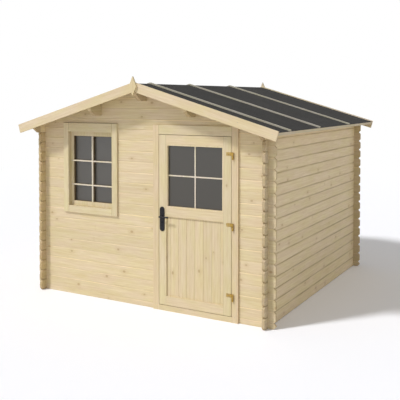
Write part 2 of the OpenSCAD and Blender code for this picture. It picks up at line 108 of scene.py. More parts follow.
class Nodes:
    """A node tree, with short ways to add and join its nodes."""

    def __init__(self, tree: bpy.types.NodeTree) -> None:
        """Empties the tree."""
        self.nodes, self.links = tree.nodes, tree.links
        self.nodes.clear()

    def feed(self, socket: Socket, value: Value) -> None:
        """Links a socket, or sets its own value.

        Args:
            socket: The input to feed.
            value: Another node's output, a number or a tuple.
        """
        if isinstance(value, bpy.types.NodeSocket):
            self.links.new(value, socket)
        else:
            socket.default_value = value

    def add(self, kind: str, *values: Value) -> bpy.types.Node:
        """Adds a node.

        Args:
            kind: Its type, without the word that all types start with.
            values: What its first inputs are fed with.

        Returns:
            The node.
        """
        node = self.nodes.new(f"ShaderNode{kind}")
        for socket, value in zip(node.inputs, values):
            self.feed(socket, value)
        return node

    def read(self, reading: Reading, turn_y: float = 0.0) -> Socket:
        """Reads a vector at each point.

        Args:
            reading: What is read.
            turn_y: Angle in radians to turn it about Y.

        Returns:
            The vector output.
        """
        vector = self.add("TexCoord").outputs[reading.value]
        if not turn_y:
            return vector
        mapping = self.add("Mapping")
        mapping.vector_type = "NORMAL" if reading is Reading.FACING else "POINT"
        mapping.inputs["Rotation"].default_value = (0.0, turn_y, 0.0)
        self.links.new(vector, mapping.inputs["Vector"])
        return mapping.outputs["Vector"]

    def math(self, operation: str, a: Value, b: Value = 0.0, c: Value = 0.0) -> Socket:
        """Adds a Math node.

        Args:
            operation: The node's operation.
            a: First value.
            b: Second value.
            c: Third value.

        Returns:
            The node's output.
        """
        node = self.add("Math", a, b, c)
        node.operation = operation
        return node.outputs[0]

    def plus(self, a: Value, b: Value) -> Socket:
        """Adds two values."""
        return self.math("ADD", a, b)

    def minus(self, a: Value, b: Value) -> Socket:
        """Takes the second value from the first."""
        return self.math("SUBTRACT", a, b)

    def times(self, a: Value, b: Value) -> Socket:
        """Multiplies two values."""
        return self.math("MULTIPLY", a, b)

    def line(self, value: Value, slope: Value, start: Value) -> Socket:
        """Gives slope times value plus start."""
        return self.math("MULTIPLY_ADD", value, slope, start)

    def length(self, a: Socket, b: Socket) -> Socket:
        """Gives the long side of a right triangle whose other sides are a and b."""
        return self.math("SQRT", self.plus(self.times(a, a), self.times(b, b)))

    def split(self, vector: Value) -> list[Socket]:
        """Splits a vector or a colour into its three parts."""
        return list(self.add("SeparateXYZ", vector).outputs)

    def join(self, x: Value, y: Value, z: Value = 0.0) -> Socket:
        """Makes a vector from three values."""
        return self.add("CombineXYZ", x, y, z).outputs[0]

    def noise(self, vector: Value, scale: float, detail: float, rough: float = 0.5) -> Socket:
        """Adds a Noise texture.

        Args:
            vector: Where it is read.
            scale: Its scale.
            detail: Number of octaves.
            rough: Share that each octave keeps.

        Returns:
            The factor output, around 0.5.
        """
        node = self.add("TexNoise")
        names = ("Vector", "Scale", "Detail", "Roughness")
        for name, value in zip(names, (vector, scale, detail, rough)):
            self.feed(node.inputs[name], value)
        return node.outputs[0]

    def ramp(self, value: Value, low: Value, high: Value, start: float = 0.0,
             end: float = 1.0) -> Socket:
        """Maps a value smoothly from one range to another.

        Args:
            value: The value.
            low: Where the rise starts.
            high: Where it ends.
            start: Result before the rise.
            end: Result after it.

        Returns:
            The result.
        """
        node = self.add("MapRange")
        node.interpolation_type = "SMOOTHSTEP"
        names = ("Value", "From Min", "From Max", "To Min", "To Max")
        for name, item in zip(names, (value, low, high, start, end)):
            self.feed(node.inputs[name], item)
        return node.outputs[0]

    def blend(self, share: Value, a: Value, b: Value, kind: Blend = Blend.MIX) -> Socket:
        """Mixes two colours.

        Args:
            share: How much of the second colour shows.
            a: First colour.
            b: Second colour.
            kind: How the second is laid over the first.

        Returns:
            The colour output.
        """
        node = self.add("Mix")
        node.data_type = "RGBA"
        node.blend_type = kind.value
        self.feed(node.inputs[0], share)
        for socket, value in ((node.inputs[6], a), (node.inputs[7], b)):
            self.feed(socket, (*value, 1.0) if isinstance(value, tuple) else value)
        return node.outputs[2]

    def tint(self, colour: Value, factor: Value, share: Value = 1.0) -> Socket:
        """Multiplies a colour part by part.

        Args:
            colour: The colour.
            factor: Factors on its red, green and blue.
            share: How much of the change shows.

        Returns:
            The colour output.
        """
        return self.blend(share, colour, factor, Blend.MULTIPLY)

    def scale(self, colour: Value, factor: Socket) -> Socket:
        """Multiplies a colour's red, green and blue by one factor."""
        return self.tint(colour, self.join(factor, factor, factor))

    def rays(self) -> tuple[Socket, Socket]:
        """Tells rays that look at a surface from rays that carry light to another one.

        Returns:
            1 for a camera ray, and 1 for a ray that the camera sees, also in metal or through glass.
        """
        path = self.add("LightPath").outputs
        seen = self.plus(self.plus(path["Is Camera Ray"], path["Is Glossy Ray"]),
                         path["Is Transmission Ray"])
        return path["Is Camera Ray"], self.math("MINIMUM", seen, 1.0)


class Tree(Nodes):
    """Node tree of one finish."""

    def __init__(self, name: str) -> None:
        """Starts a material with a Principled shader.

        Args:
            name: Name of the material.
        """
        self.material = bpy.data.materials.new(name)
        self.material.use_nodes = True
        super().__init__(self.material.node_tree)
        self.shader = self.add("BsdfPrincipled")
        self.output = self.add("OutputMaterial", self.shader.outputs[0])

    def coat(self, colour: Value, rough: Value, specular: float = 0.5) -> None:
        """Gives the shader its colour and sheen.

        Args:
            colour: Base colour.
            rough: Roughness.
            specular: Specular level.
        """
        self.feed(self.shader.inputs["Base Color"], colour)
        self.feed(self.shader.inputs["Roughness"], rough)
        self.shader.inputs["Specular IOR Level"].default_value = specular

    def bump(self, height: Value, depth: float) -> None:
        """Gives the shader a bump.

        Args:
            height: Height, 0 to 1.
            depth: How deep the full height is.
        """
        node = self.add("Bump")
        for name, value in (("Strength", 1.0), ("Distance", depth), ("Height", height)):
            self.feed(node.inputs[name], value)
        self.links.new(node.outputs[0], self.shader.inputs["Normal"])


@dataclass(frozen=True)
class Finish:
    """A finish, which makes its own material.

    Attributes:
        name: Name of the material.
    """

    name: str

    def fill(self, tree: Tree) -> None:
        """Adds the finish's nodes to a new tree."""
        raise NotImplementedError

    def material(self) -> bpy.types.Material:
        """Builds the node tree.

        Returns:
            The material.
        """
        tree = Tree(self.name)
        self.fill(tree)
        return tree.material


# ---------------------------------------------------------------- spruce

# Factors on the colour of spruce.
SAME: Point = (1.0, 1.0, 1.0)
PALE: Point = (1.05, 1.15, 1.44)
PLAIN: Point = (1.0, 1.0, 1.02)
WARM: Point = (0.975, 0.955, 0.96)
GREENISH: Point = (0.975, 1.005, 1.0)
# SHADED is painted shade: a darker copy of the colour for parts that lie in shade.
SHADED: Point = (0.90, 0.915, 0.86)
# Painted shade: a greyer, bluer factor for the back barge boards, which face away from the sun.
BACK_SHADE_TINT: Point = (0.95, 0.97, 1.05)
YELLOW_PATCH: Point = (0.985, 0.985, 0.90)
PINK_PATCH: Point = (1.01, 0.985, 1.02)
SAWN: Point = (0.93, 0.90, 0.86)
SAWN_RING: Point = (0.76, 0.68, 0.56)

# Colours in spruce.
PALE_FIBRE: Point = (0.90, 0.79, 0.57)
KNOT_HALO: Point = (0.52, 0.38, 0.20)
KNOT_DARK: Point = (0.26, 0.150, 0.065)
KNOT_LIGHT: Point = (0.42, 0.27, 0.13)

# Noises in spruce: how tight they lie along and across the grain, and their shift between boards.
WANDER: Point = (0.55, 2.2, 5.3)
RIPPLE: Point = (3.0, 30.0, 0.0)
FIBRE: Point = (1.3, 48.0, 3.7)
FLECK: Point = (5.5, 90.0, 9.1)
PATCH: Point = (3.2, 12.0, 2.3)

# Steps that keep the random numbers of two woods, two boards and two knots apart.
BOARDS_APART = 37.0
ROWS_APART = 10.0
KNOT_SHIFT = 31.0

# Share of a knot's colour at its middle and outside it.
KNOT_FADE: Band = (1.0, 0.0)

# Shares read from a value: where the change starts and ends, and the share before and after it.
DARK_FIBRES: Band = (0.30, 0.72, 0.0, 0.34)
DARK_FLECKS: Band = (0.44, 0.74, 0.0, 0.40)
PALE_FLECKS: Band = (0.26, 0.46, 0.30, 0.0)
PATCHES: Band = (0.32, 0.68)
SAWN_FACE: Band = (0.40, 0.55)
UNEVEN_SEAM: Band = (0.30, 0.70, 0.35, 1.35)
# Where the painted highlight lies below a board's upper edge, and which fibres show it.
GLINT_START: Band = (0.001, 0.004)
GLINT_END: Band = (0.008, 0.014, 1.0, 0.0)
GLINT_FIBRES: Band = (0.40, 0.62)


@dataclass(frozen=True)
class Growth:
    """How knots and rings grow in spruce.

    Attributes:
        stretch: Length of board that has one place for a knot.
        band: Widest strip of a board in which its knots lie, and the share of it that they use.
        knot: Radius of the smallest knot, and how much wider the widest is.
        oval: How much longer than wide a knot is.
        core: Share of its radius in which a knot is darkest.
        halo: How many times its radius the wood round a knot is darker.
        bend: Share of a knot's distance by which it bends the rings.
        trunk: Least depth of the trunk's middle behind the face, and how much deeper it may lie.
        aside: How far the middle may lie to the side.
        wander: How far it wanders along the board.
        ripple: Unevenness of the rings.
        ring: Width of a ring.
        late: Power that narrows the dark wood of a ring.
    """

    stretch: float = 0.42
    band: tuple[float, float] = (0.14, 0.8)
    knot: tuple[float, float] = (0.008, 0.011)
    oval: float = 1.45
    core: float = 0.35
    halo: float = 3.2
    bend: float = 0.8
    trunk: tuple[float, float] = (0.025, 0.05)
    aside: float = 0.09
    wander: float = 0.07
    ripple: float = 0.006
    ring: float = 0.0062
    late: float = 2.2


@dataclass(frozen=True)
class Look:
    """How much of each thing shows in planed spruce.

    Attributes:
        rings: Share of the dark colour in the dark wood of a ring.
        boards: How much lighter one board may be than another, and the darkest.
        halo: Share of the darker colour round a knot.
        core: How much more shows of a wide knot than of a small one, and how much of a small one.
        line: From the very edge of a board to where its joint starts to lighten.
        line_w: Width over which another tone starts at an end place.
        uneven: How tight the unevenness of the joints lies.
        dirt: Powers by which green and blue fall in a joint.
        sheen: How much rougher the fibres are, and the least roughness.
        specular: Specular level.
        relief: Depth of the grain.
        raised: Shares of rings, flecks and knots in the relief.
    """

    rings: float = 0.32
    boards: tuple[float, float] = (0.07, 0.94)
    halo: float = 0.20
    core: tuple[float, float] = (0.30, 0.32)
    line: float = 0.001
    line_w: float = 0.003
    uneven: float = 0.7
    dirt: tuple[float, float] = (1.10, 1.30)
    sheen: tuple[float, float] = (0.25, 0.48)
    specular: float = 0.30
    relief: float = 0.0006
    raised: Point = (0.45, 0.4, 0.3)


@dataclass(frozen=True)
class Spruce(Finish):
    """Planed spruce, cut from trunks whose rings are followed through the whole board.

    Attributes:
        grain: Direction of the grain.
        across: Direction in which boards or logs lie side by side.
        pitch: Width of one board or height of one log.
        start: Place of the first joint.
        face: Place of the seen face along the third direction.
        seed: Number that tells this wood's boards from others'.
        turn_y: Turn about Y that lays sloping boards level, in radians.
        mirrored: Whether the two sides of the shed show the same boards.
        seam: Share of light that is lost in the joints.
        seam_w: How far from a joint the loss reaches.
        painted_glint: Painted highlight on the upper edge of a board, where the sun would catch its
            bevel.
        ends: Places before and past which the wood has another tone, if any.
        ends_axis: Direction in which those places lie, if not along the grain.
        end_tone: Factor on the colour there: a dark joint on casings, painted shade on log ends and on
            the back finial, painted light on purlin ends.
        knots: Share of the places for a knot that have one.
        tone: Factor on the whole colour, which on some parts is painted shade or painted light.
        early: Colour of the pale wood.
        late: Colour of the dark lines.
    """

    grain: Axis
    across: Axis
    pitch: float = 5.0
    start: float = -2.5
    face: float = 0.0
    seed: int = 0
    turn_y: float = 0.0
    mirrored: bool = False
    seam: float = 0.0
    seam_w: float = 0.005
    painted_glint: float = 0.0
    ends: Optional[tuple[float, float]] = None
    ends_axis: Optional[Axis] = None
    end_tone: Point = SAME
    knots: float = 0.35
    tone: Point = SAME
    early: Point = (0.755, 0.648, 0.442)
    late: Point = (0.600, 0.455, 0.262)

    def material(self) -> bpy.types.Material:
        """Builds the node tree and gives its material."""
        return Boards(self).material


class Boards(Tree):
    """Node tree of spruce, which knows a point's board and its place in that board."""

    def __init__(self, wood: Spruce) -> None:
        """Finds the point's board, draws its knots, rings and streaks, and colours it.

        Args:
            wood: What the wood is like.
        """
        super().__init__(wood.name)
        self.wood, self.growth, self.look = wood, Growth(), Look()
        self.parts = self.split(self.read(Reading.PLACE, wood.turn_y))
        if wood.mirrored:
            self.parts[0] = self.math("ABSOLUTE", self.parts[0])
        self.along, self.across = self.parts[wood.grain.value], self.parts[wood.across.value]
        self.deep = self.parts[3 - wood.grain.value - wood.across.value]
        place = self.math("DIVIDE", self.minus(self.across, wood.start), wood.pitch)
        self.board = self.math("FLOOR", place)
        self.local = self.times(self.minus(self.math("FRACT", place), 0.5), wood.pitch)
        dice = self.add("TexWhiteNoise")
        dice.noise_dimensions = "1D"
        self.feed(dice.inputs["W"], self.plus(self.board, wood.seed * BOARDS_APART + 0.5))
        self.chance = self.split(dice.outputs["Color"])
        self.knots()
        self.rings()
        self.wide = self.streaks(PATCH)
        self.fibre = self.noise(self.streaks(FIBRE), 1.0, 4.0, 0.6)
        self.fleck = self.noise(self.streaks(FLECK), 1.0, 3.0, 0.65)
        self.finish()

    def streaks(self, kind: Point) -> Socket:
        """Gives coordinates that draw a noise out along the grain.

        Args:
            kind: How tight it lies along and across the grain, and its shift between boards.

        Returns:
            The vector output.
        """
        along, across, shift = kind
        return self.join(self.times(self.along, along), self.times(self.across, across),
                         self.line(self.board, shift, self.times(self.deep, across)))

    def knots(self) -> None:
        """Sets knots into the boards, with one place for a knot on each stretch of a board."""
        growth = self.growth
        shift = self.times(self.chance[0], KNOT_SHIFT)
        cell = self.add("TexVoronoi")
        cell.voronoi_dimensions = "2D"
        cell.inputs["Scale"].default_value = 1.0
        row = self.line(self.board, ROWS_APART, self.wood.seed * BOARDS_APART * ROWS_APART + 0.5)
        where = self.plus(self.math("DIVIDE", self.along, growth.stretch), shift)
        self.feed(cell.inputs["Vector"], self.join(where, row))
        knot_u = self.times(self.minus(self.split(cell.outputs["Position"])[0], shift), growth.stretch)
        pick, self.size, chance = self.split(cell.outputs["Color"])
        band, share = growth.band
        knot_v = self.times(self.minus(pick, 0.5), min(self.wood.pitch, band) * share)
        off_u = self.math("DIVIDE", self.minus(self.along, knot_u), growth.oval)
        self.off_v = self.minus(self.local, knot_v)
        far = self.length(off_u, self.off_v)
        there = self.math("GREATER_THAN", self.wood.knots, chance)
        least, more = growth.knot
        radius = self.times(self.line(self.size, more, least), there)
        core = self.ramp(far, self.times(radius, growth.core), radius, *KNOT_FADE)
        halo = self.ramp(far, radius, self.times(radius, growth.halo), *KNOT_FADE)
        self.core, self.halo = self.times(core, there), self.times(halo, there)

    def rings(self) -> None:
        """Draws rings round the trunk's middle, which lies behind the board and wanders."""
        growth = self.growth
        wander = self.minus(self.noise(self.streaks(WANDER), 1.0, 2.0), 0.5)
        bent = self.minus(self.local, self.times(self.times(self.off_v, self.halo), growth.bend))
        aside = self.plus(bent, self.times(self.minus(self.chance[1], 0.5), growth.aside))
        least, more = growth.trunk
        inwards = self.plus(self.minus(self.deep, self.wood.face),
                            self.line(self.chance[2], more, least))
        ring = self.length(self.line(wander, growth.wander, aside), inwards)
        ring = self.line(self.noise(self.streaks(RIPPLE), 1.0, 3.0), growth.ripple, ring)
        ring = self.math("FRACT", self.math("DIVIDE", ring, growth.ring))
        self.late = self.math("POWER", ring, growth.late)

    def planed(self) -> Socket:
        """Colours the planed wood.

        Returns:
            The colour output.
        """
        late, look = self.wood.late, self.look
        colour = self.blend(self.times(self.late, look.rings), self.wood.early, late)
        colour = self.blend(self.ramp(self.fibre, *DARK_FIBRES), colour, late)
        colour = self.blend(self.ramp(self.fleck, *DARK_FLECKS), colour, late)
        colour = self.blend(self.ramp(self.fleck, *PALE_FLECKS), colour, PALE_FIBRE)
        patch = self.ramp(self.noise(self.wide, 1.0, 2.0), *PATCHES)
        colour = self.tint(colour, self.blend(patch, YELLOW_PATCH, PINK_PATCH))
        colour = self.scale(colour, self.line(self.chance[0], *look.boards))
        colour = self.blend(self.times(self.halo, look.halo), colour, KNOT_HALO)
        heart = self.blend(self.size, KNOT_DARK, KNOT_LIGHT)
        return self.blend(self.times(self.core, self.line(self.size, *look.core)), colour, heart)

    def sawn(self, colour: Socket) -> Socket:
        """Darkens sawn ends, which take the light less and show the rings more.

        Args:
            colour: Colour of the planed wood.

        Returns:
            The colour output.
        """
        facing = self.split(self.read(Reading.FACING, self.wood.turn_y))[self.wood.grain.value]
        end = self.ramp(self.math("ABSOLUTE", facing), *SAWN_FACE)
        return self.tint(colour, self.blend(self.late, SAWN, SAWN_RING), end)

    def joined(self, colour: Socket) -> Socket:
        """Darkens the joints between boards, and paints a highlight on their upper edges where the sun
        would catch the bevel.

        Args:
            colour: Colour of the wood.

        Returns:
            The colour output.
        """
        wood, look, half = self.wood, self.look, self.wood.pitch / 2
        if wood.seam:
            edge = self.minus(half, self.math("ABSOLUTE", self.local))
            loss = self.times(self.ramp(edge, look.line, wood.seam_w, wood.seam, 0.0),
                              self.ramp(self.noise(self.wide, look.uneven, 2.0), *UNEVEN_SEAM))
            left = self.minus(1.0, loss)
            green, blue = (self.math("POWER", left, power) for power in look.dirt)
            colour = self.tint(colour, self.join(left, green, blue))
        # Painted highlight: a pale band just below each upper edge.
        if wood.painted_glint:
            below = self.minus(half, self.local)
            band = self.times(self.ramp(below, *GLINT_START), self.ramp(below, *GLINT_END))
            shine = self.times(band, self.ramp(self.fibre, *GLINT_FIBRES))
            colour = self.scale(colour, self.line(shine, wood.painted_glint, 1.0))
        return colour

    def outer(self, colour: Socket) -> Socket:
        """Gives the wood past its end places their tone, which on some parts is painted shade or
        painted light.

        Args:
            colour: Colour of the wood.

        Returns:
            The colour output.
        """
        if not self.wood.ends:
            return colour
        low, high = self.wood.ends
        place = self.parts[(self.wood.ends_axis or self.wood.grain).value]
        past = self.plus(self.ramp(place, low - self.look.line_w, low, 1.0, 0.0),
                         self.ramp(place, high, high + self.look.line_w))
        return self.tint(colour, self.wood.end_tone, past)

    def finish(self) -> None:
        """Puts colour, sheen and relief together."""
        look = self.look
        colour = self.outer(self.joined(self.sawn(self.planed())))
        self.coat(self.tint(colour, self.wood.tone), self.line(self.fibre, *look.sheen),
                  look.specular)
        rings, flecks, knots = look.raised
        height = self.line(self.late, rings, self.times(self.fleck, flecks))
        self.bump(self.minus(height, self.times(self.core, knots)), look.relief)


# ---------------------------------------------------------------- other finishes


@dataclass(frozen=True)
class RoofFelt(Finish):
    """Bitumen felt with a grey mineral face.

    Attributes:
        name: Name of the material.
        colour: Colour of the face.
        grit: Colour of the pale grains.
        tight: How tight the grains and the worn patches lie.
        relief: Depth of the grains and patches.
    """

    name: str = "roof_felt"
    colour: Point = (0.0160, 0.0154, 0.0143)
    grit: Point = (0.045, 0.042, 0.037)
    tight: tuple[float, float] = (420.0, 3.1)
    relief: float = 0.0011

    def fill(self, tree: Tree) -> None:
        """Adds the finish's nodes.

        Args:
            tree: Node tree of its material.
        """
        point = tree.read(Reading.PLACE)
        grain = tree.noise(point, self.tight[0], 2.0, 0.7)
        patch = tree.noise(point, self.tight[1], 4.0, 0.55)
        colour = tree.blend(tree.ramp(grain, 0.46, 0.70), self.colour, self.grit)
        colour = tree.scale(colour, tree.ramp(patch, 0.35, 0.70, 0.88, 1.14))
        tree.coat(colour, tree.line(grain, 0.2, 0.78), 0.2)
        tree.bump(tree.line(patch, 1.6, grain), self.relief)


@dataclass(frozen=True)
class Pane(Finish):
    """Smoky glass with a dark room behind it.

    Attributes:
        colour: Colour of the pane.
        cover: Share of the room behind that the pane hides.
        bend: Index of refraction, which sets how much the pane mirrors.
        tint: Colour of what it mirrors.
        relief: Depth of its slow waves.
    """

    colour: Point = (0.012, 0.009, 0.004)
    cover: float = 0.92
    bend: float = 2.07
    tint: Point = (1.0, 0.98, 0.955)
    relief: float = 0.0008

    def fill(self, tree: Tree) -> None:
        """Adds the finish's nodes.

        Args:
            tree: Node tree of its material.
        """
        point = tree.read(Reading.PLACE)
        cloud = tree.ramp(tree.noise(point, 2.3, 2.0), 0.3, 0.7, 0.90, 1.10)
        smear = tree.ramp(tree.noise(point, 9.0, 3.0), 0.3, 0.8, 0.32, 0.40)
        tree.coat(tree.scale(self.colour, cloud), smear)
        tree.shader.inputs["IOR"].default_value = self.bend
        tree.shader.inputs["Specular Tint"].default_value = (*self.tint, 1.0)
        tree.shader.inputs["Alpha"].default_value = self.cover
        tree.bump(tree.noise(point, 5.0, 1.0), self.relief)


@dataclass(frozen=True)
class ShadeSeal(Finish):
    """Dark brown sealing strip, which also stands as painted shade round the window's panes and as a
    painted shadow line over its head casing.

    Attributes:
        name: Name of the material.
        colour: Its colour.
        bloom: Colour of its paler bloom.
        relief: Depth of its unevenness.
    """

    name: str = "seal_and_painted_shade"
    colour: Point = (0.135, 0.090, 0.042)
    bloom: Point = (0.185, 0.130, 0.070)
    relief: float = 0.0003

    def fill(self, tree: Tree) -> None:
        """Adds the finish's nodes.

        Args:
            tree: Node tree of its material.
        """
        cloud = tree.noise(tree.read(Reading.PLACE), 60.0, 3.0)
        tree.coat(tree.blend(tree.ramp(cloud, 0.35, 0.70), self.colour, self.bloom),
                  tree.ramp(cloud, 0.3, 0.7, 0.62, 0.78), 0.3)
        tree.bump(cloud, self.relief)


@dataclass(frozen=True)
class Metal(Finish):
    """A worked metal, bare or painted.

    Attributes:
        colour: Main colour.
        worn: Colour where it is rubbed or tarnished.
        shine: 1 for bare metal, 0 for paint.
        rough: Middle of the roughness.
        relief: Depth of the surface's small unevenness.
        specular: Specular level of the coat.
    """

    colour: Point
    worn: Point
    shine: float
    rough: float
    relief: float = 0.0002
    specular: float = 0.5

    def fill(self, tree: Tree) -> None:
        """Adds the finish's nodes.

        Args:
            tree: Node tree of its material.
        """
        point = tree.read(Reading.PLACE)
        cloud = tree.noise(point, 38.0, 4.0, 0.6)
        tree.coat(tree.blend(tree.ramp(cloud, 0.42, 0.75), self.colour, self.worn),
                  tree.line(tree.minus(cloud, 0.5), 0.3, self.rough), self.specular)
        tree.shader.inputs["Metallic"].default_value = self.shine
        tree.bump(tree.noise(point, 900.0, 2.0), self.relief)


# ---------------------------------------------------------------- shapes


class Shape:
    """A mesh in the making: solids are added to it one by one and then it becomes a piece."""

    def __init__(self) -> None:
        """Starts an empty mesh."""
        self.mesh = bmesh.new()

    def soften(self, edges: Iterable[bmesh.types.BMEdge], width: float,
               steps: int) -> set[bmesh.types.BMVert]:
        """Bevels edges.

        Args:
            edges: The edges.
            width: Width of the bevel.
            steps: Steps in it.

        Returns:
            The vertices of the faces that the bevel adds.
        """
        made = bmesh.ops.bevel(self.mesh, geom=list(edges), offset=width, offset_type="OFFSET",
                               affect="EDGES", segments=steps, profile=0.5, material=-1)
        return {v for f in made["faces"] for v in f.verts}

    def block(self, low: Sequence[float], high: Sequence[float], bevel: float = 0.0,
              turn: Matrix = Matrix()) -> None:
        """Adds a box with bevelled edges.

        Args:
            low: Lowest corner.
            high: Highest corner.
            bevel: Width of the bevel on every edge.
            turn: Matrix that puts the finished box in its place.
        """
        size = [h - l for l, h in zip(low, high)]
        middle = [(h + l) / 2 for l, h in zip(low, high)]
        place = Matrix.Translation(middle) @ Matrix.Diagonal((*size, 1.0))
        verts = bmesh.ops.create_cube(self.mesh, size=1.0, matrix=place)["verts"]
        if bevel:
            made = self.soften({e for v in verts for e in v.link_edges}, bevel, 1)
            verts = list(made | {v for v in verts if v.is_valid})
        bmesh.ops.transform(self.mesh, matrix=turn, verts=verts)

    def disc(self, centre: Sequence[float], radius: float, proud: float, bevel: float,
             sides: int = 16) -> None:
        """Adds a disc that is half sunk into a face that looks along Y.

        Args:
            centre: Middle of the disc, on the face.
            radius: Its radius.
            proud: How far it stands out.
            bevel: Width of the bevel on its two rims.
            sides: Number of sides.
        """
        place = Matrix.Translation(centre) @ Matrix.Rotation(math.pi / 2, 4, "X")
        verts = bmesh.ops.create_cone(self.mesh, cap_ends=True, segments=sides, radius1=radius,
                                      radius2=radius, depth=2 * proud, matrix=place)["verts"]
        edges = {e for v in verts for e in v.link_edges}
        self.soften((e for e in edges if max(len(f.verts) for f in e.link_faces) > 4), bevel, 2)

    def trim(self, point: Point, outwards: Point) -> None:
        """Cuts off all that lies past a plane and closes the cut.

        Args:
            point: A point of the plane.
            outwards: Direction in which the cut-off part lies.
        """
        mesh = self.mesh
        cut = bmesh.ops.bisect_plane(mesh, geom=mesh.verts[:] + mesh.edges[:] + mesh.faces[:],
                                     plane_co=point, plane_no=outwards, clear_outer=True)
        edges = [e for e in cut["geom_cut"] if isinstance(e, bmesh.types.BMEdge)]
        bmesh.ops.holes_fill(mesh, edges=edges)

    def piece(self, name: str, body: Body, finish: Finish, slot: str,
              replaces: Iterable[str] = ()) -> None:
        """Turns the mesh into a piece of the shed.

        Args:
            name: Name of the piece.
            body: Body that it rides on.
            finish: Its finish.
            slot: Name of a material slot; not used.
            replaces: CAD nodes that it stands for.
        """
        bmesh.ops.recalc_face_normals(self.mesh, faces=self.mesh.faces)
        data = bpy.data.meshes.new(name)
        self.mesh.to_mesh(data)
        self.mesh.free()
        data.materials.append(finish.material())
        thing = bpy.data.objects.new(name, data)
        bpy.context.scene.collection.objects.link(thing)
        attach(thing, body.value)
        if replaces:
            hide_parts(*replaces)


def dress(finish: Finish, *nodes: str) -> None:
    """Gives CAD nodes their finish.

    Args:
        finish: The finish.
        nodes: Names of the nodes.
    """
    material = finish.material()
    for node in nodes:
        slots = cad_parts[node].data.materials
        slots.clear()
        slots.append(material)


# ---------------------------------------------------------------- the shed's parts


@dataclass
class LogWalls:
    """Walls and gables of interlocking logs.

    Attributes:
        course: Height of one log.
        seam: Share of light lost in the joints of the front and back walls.
        side_seam: Share of light lost in the joints of the side walls.
        seam_w: How far from a joint the loss reaches.
        painted_glint: Painted highlight on a log's upper edge, where the sun would catch its bevel, on
            the front and back walls.
        stand_out: How far the logs' ends stand out past a corner.
        side_painted_light: Painted light: a factor that lightens both side walls, to lift the shade on
            the one away from the sun.
        knots: Share of the places for a knot that have one, on front and back walls and on side walls.
        front_end_shade: Painted shade on the logs' ends that stand out past the front wall's corners:
            a factor on their colour.
        back_end_shade: The same painted shade on the back wall.
        left_end_shade: The same painted shade on the left wall.
        right_end_shade: The same painted shade on the right wall.
        eave_painted_light: Painted light: a factor that lightens the eave logs, whose upper part lies
            in the shadow of the lath.
        eave_end_shade: Painted shade on their ends, under the roof: a factor on their colour.
    """

    course: float = 0.114
    seam: float = 0.03
    side_seam: float = 0.28
    seam_w: float = 0.014
    painted_glint: float = 0.30
    stand_out: float = 0.080
    side_painted_light: Point = (1.05, 1.045, 1.045)
    knots: tuple[float, float] = (0.52, 0.26)
    front_end_shade: Point = (0.93, 0.94, 0.94)
    back_end_shade: Point = (0.76, 0.75, 0.72)
    left_end_shade: Point = (0.78, 0.75, 0.68)
    right_end_shade: Point = (0.78, 0.785, 0.80)
    eave_painted_light: Point = (1.15, 1.15, 1.15)
    eave_end_shade: Point = (0.71, 0.67, 0.67)

    def dress(self) -> None:
        """Gives each wall its own run of logs."""
        front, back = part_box("front_wall_left")[0][1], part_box("back_wall")[1][1]
        left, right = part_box("left_wall")[0][0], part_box("right_wall")[1][0]
        under_gables = dict(grain=Axis.X, start=self.course / 2, seam=self.seam, painted_glint=self.painted_glint,
                            knots=self.knots[0])
        # The side walls get painted light, a factor that lightens them.
        under_eaves = dict(grain=Axis.Y, start=0.0, seam=self.side_seam, knots=self.knots[1],
                           tone=self.side_painted_light)
        walls = (
            ("front_sill_log", under_gables, front, self.front_end_shade),
            ("front_wall_left", under_gables, front, self.front_end_shade),
            ("front_wall_right", under_gables, front, self.front_end_shade),
            ("front_gable", under_gables, front, self.front_end_shade),
            ("back_wall", under_gables, back, self.back_end_shade),
            ("back_gable", under_gables, back, self.back_end_shade),
            ("left_wall", under_eaves, left, self.left_end_shade),
            ("right_wall", under_eaves, right, self.right_end_shade),
        )
        # The logs' ends past the corners get painted shade, a factor on their colour.
        for seed, (node, plan, face, end_tone) in enumerate(walls, 1):
            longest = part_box("front_gable" if plan is under_gables else "left_wall")
            low, high = (corner[plan["grain"].value] for corner in longest)
            dress(Spruce(f"logs_{node}", across=Axis.Z, pitch=self.course, face=face, seed=seed,
                         seam_w=self.seam_w, ends=(low + self.stand_out, high - self.stand_out),
                         end_tone=end_tone, **plan), node)
        (_, low, _), (_, high, _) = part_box("left_wall")
        # The eave logs get painted light, and painted shade on their ends.
        dress(Spruce("logs_eaves", Axis.Y, Axis.Z, self.course, start=0.0, face=right, seed=9,
                     mirrored=True, seam=self.side_seam, seam_w=self.seam_w, ends=(low, high),
                     end_tone=self.eave_end_shade, tone=self.eave_painted_light), "eave_logs")


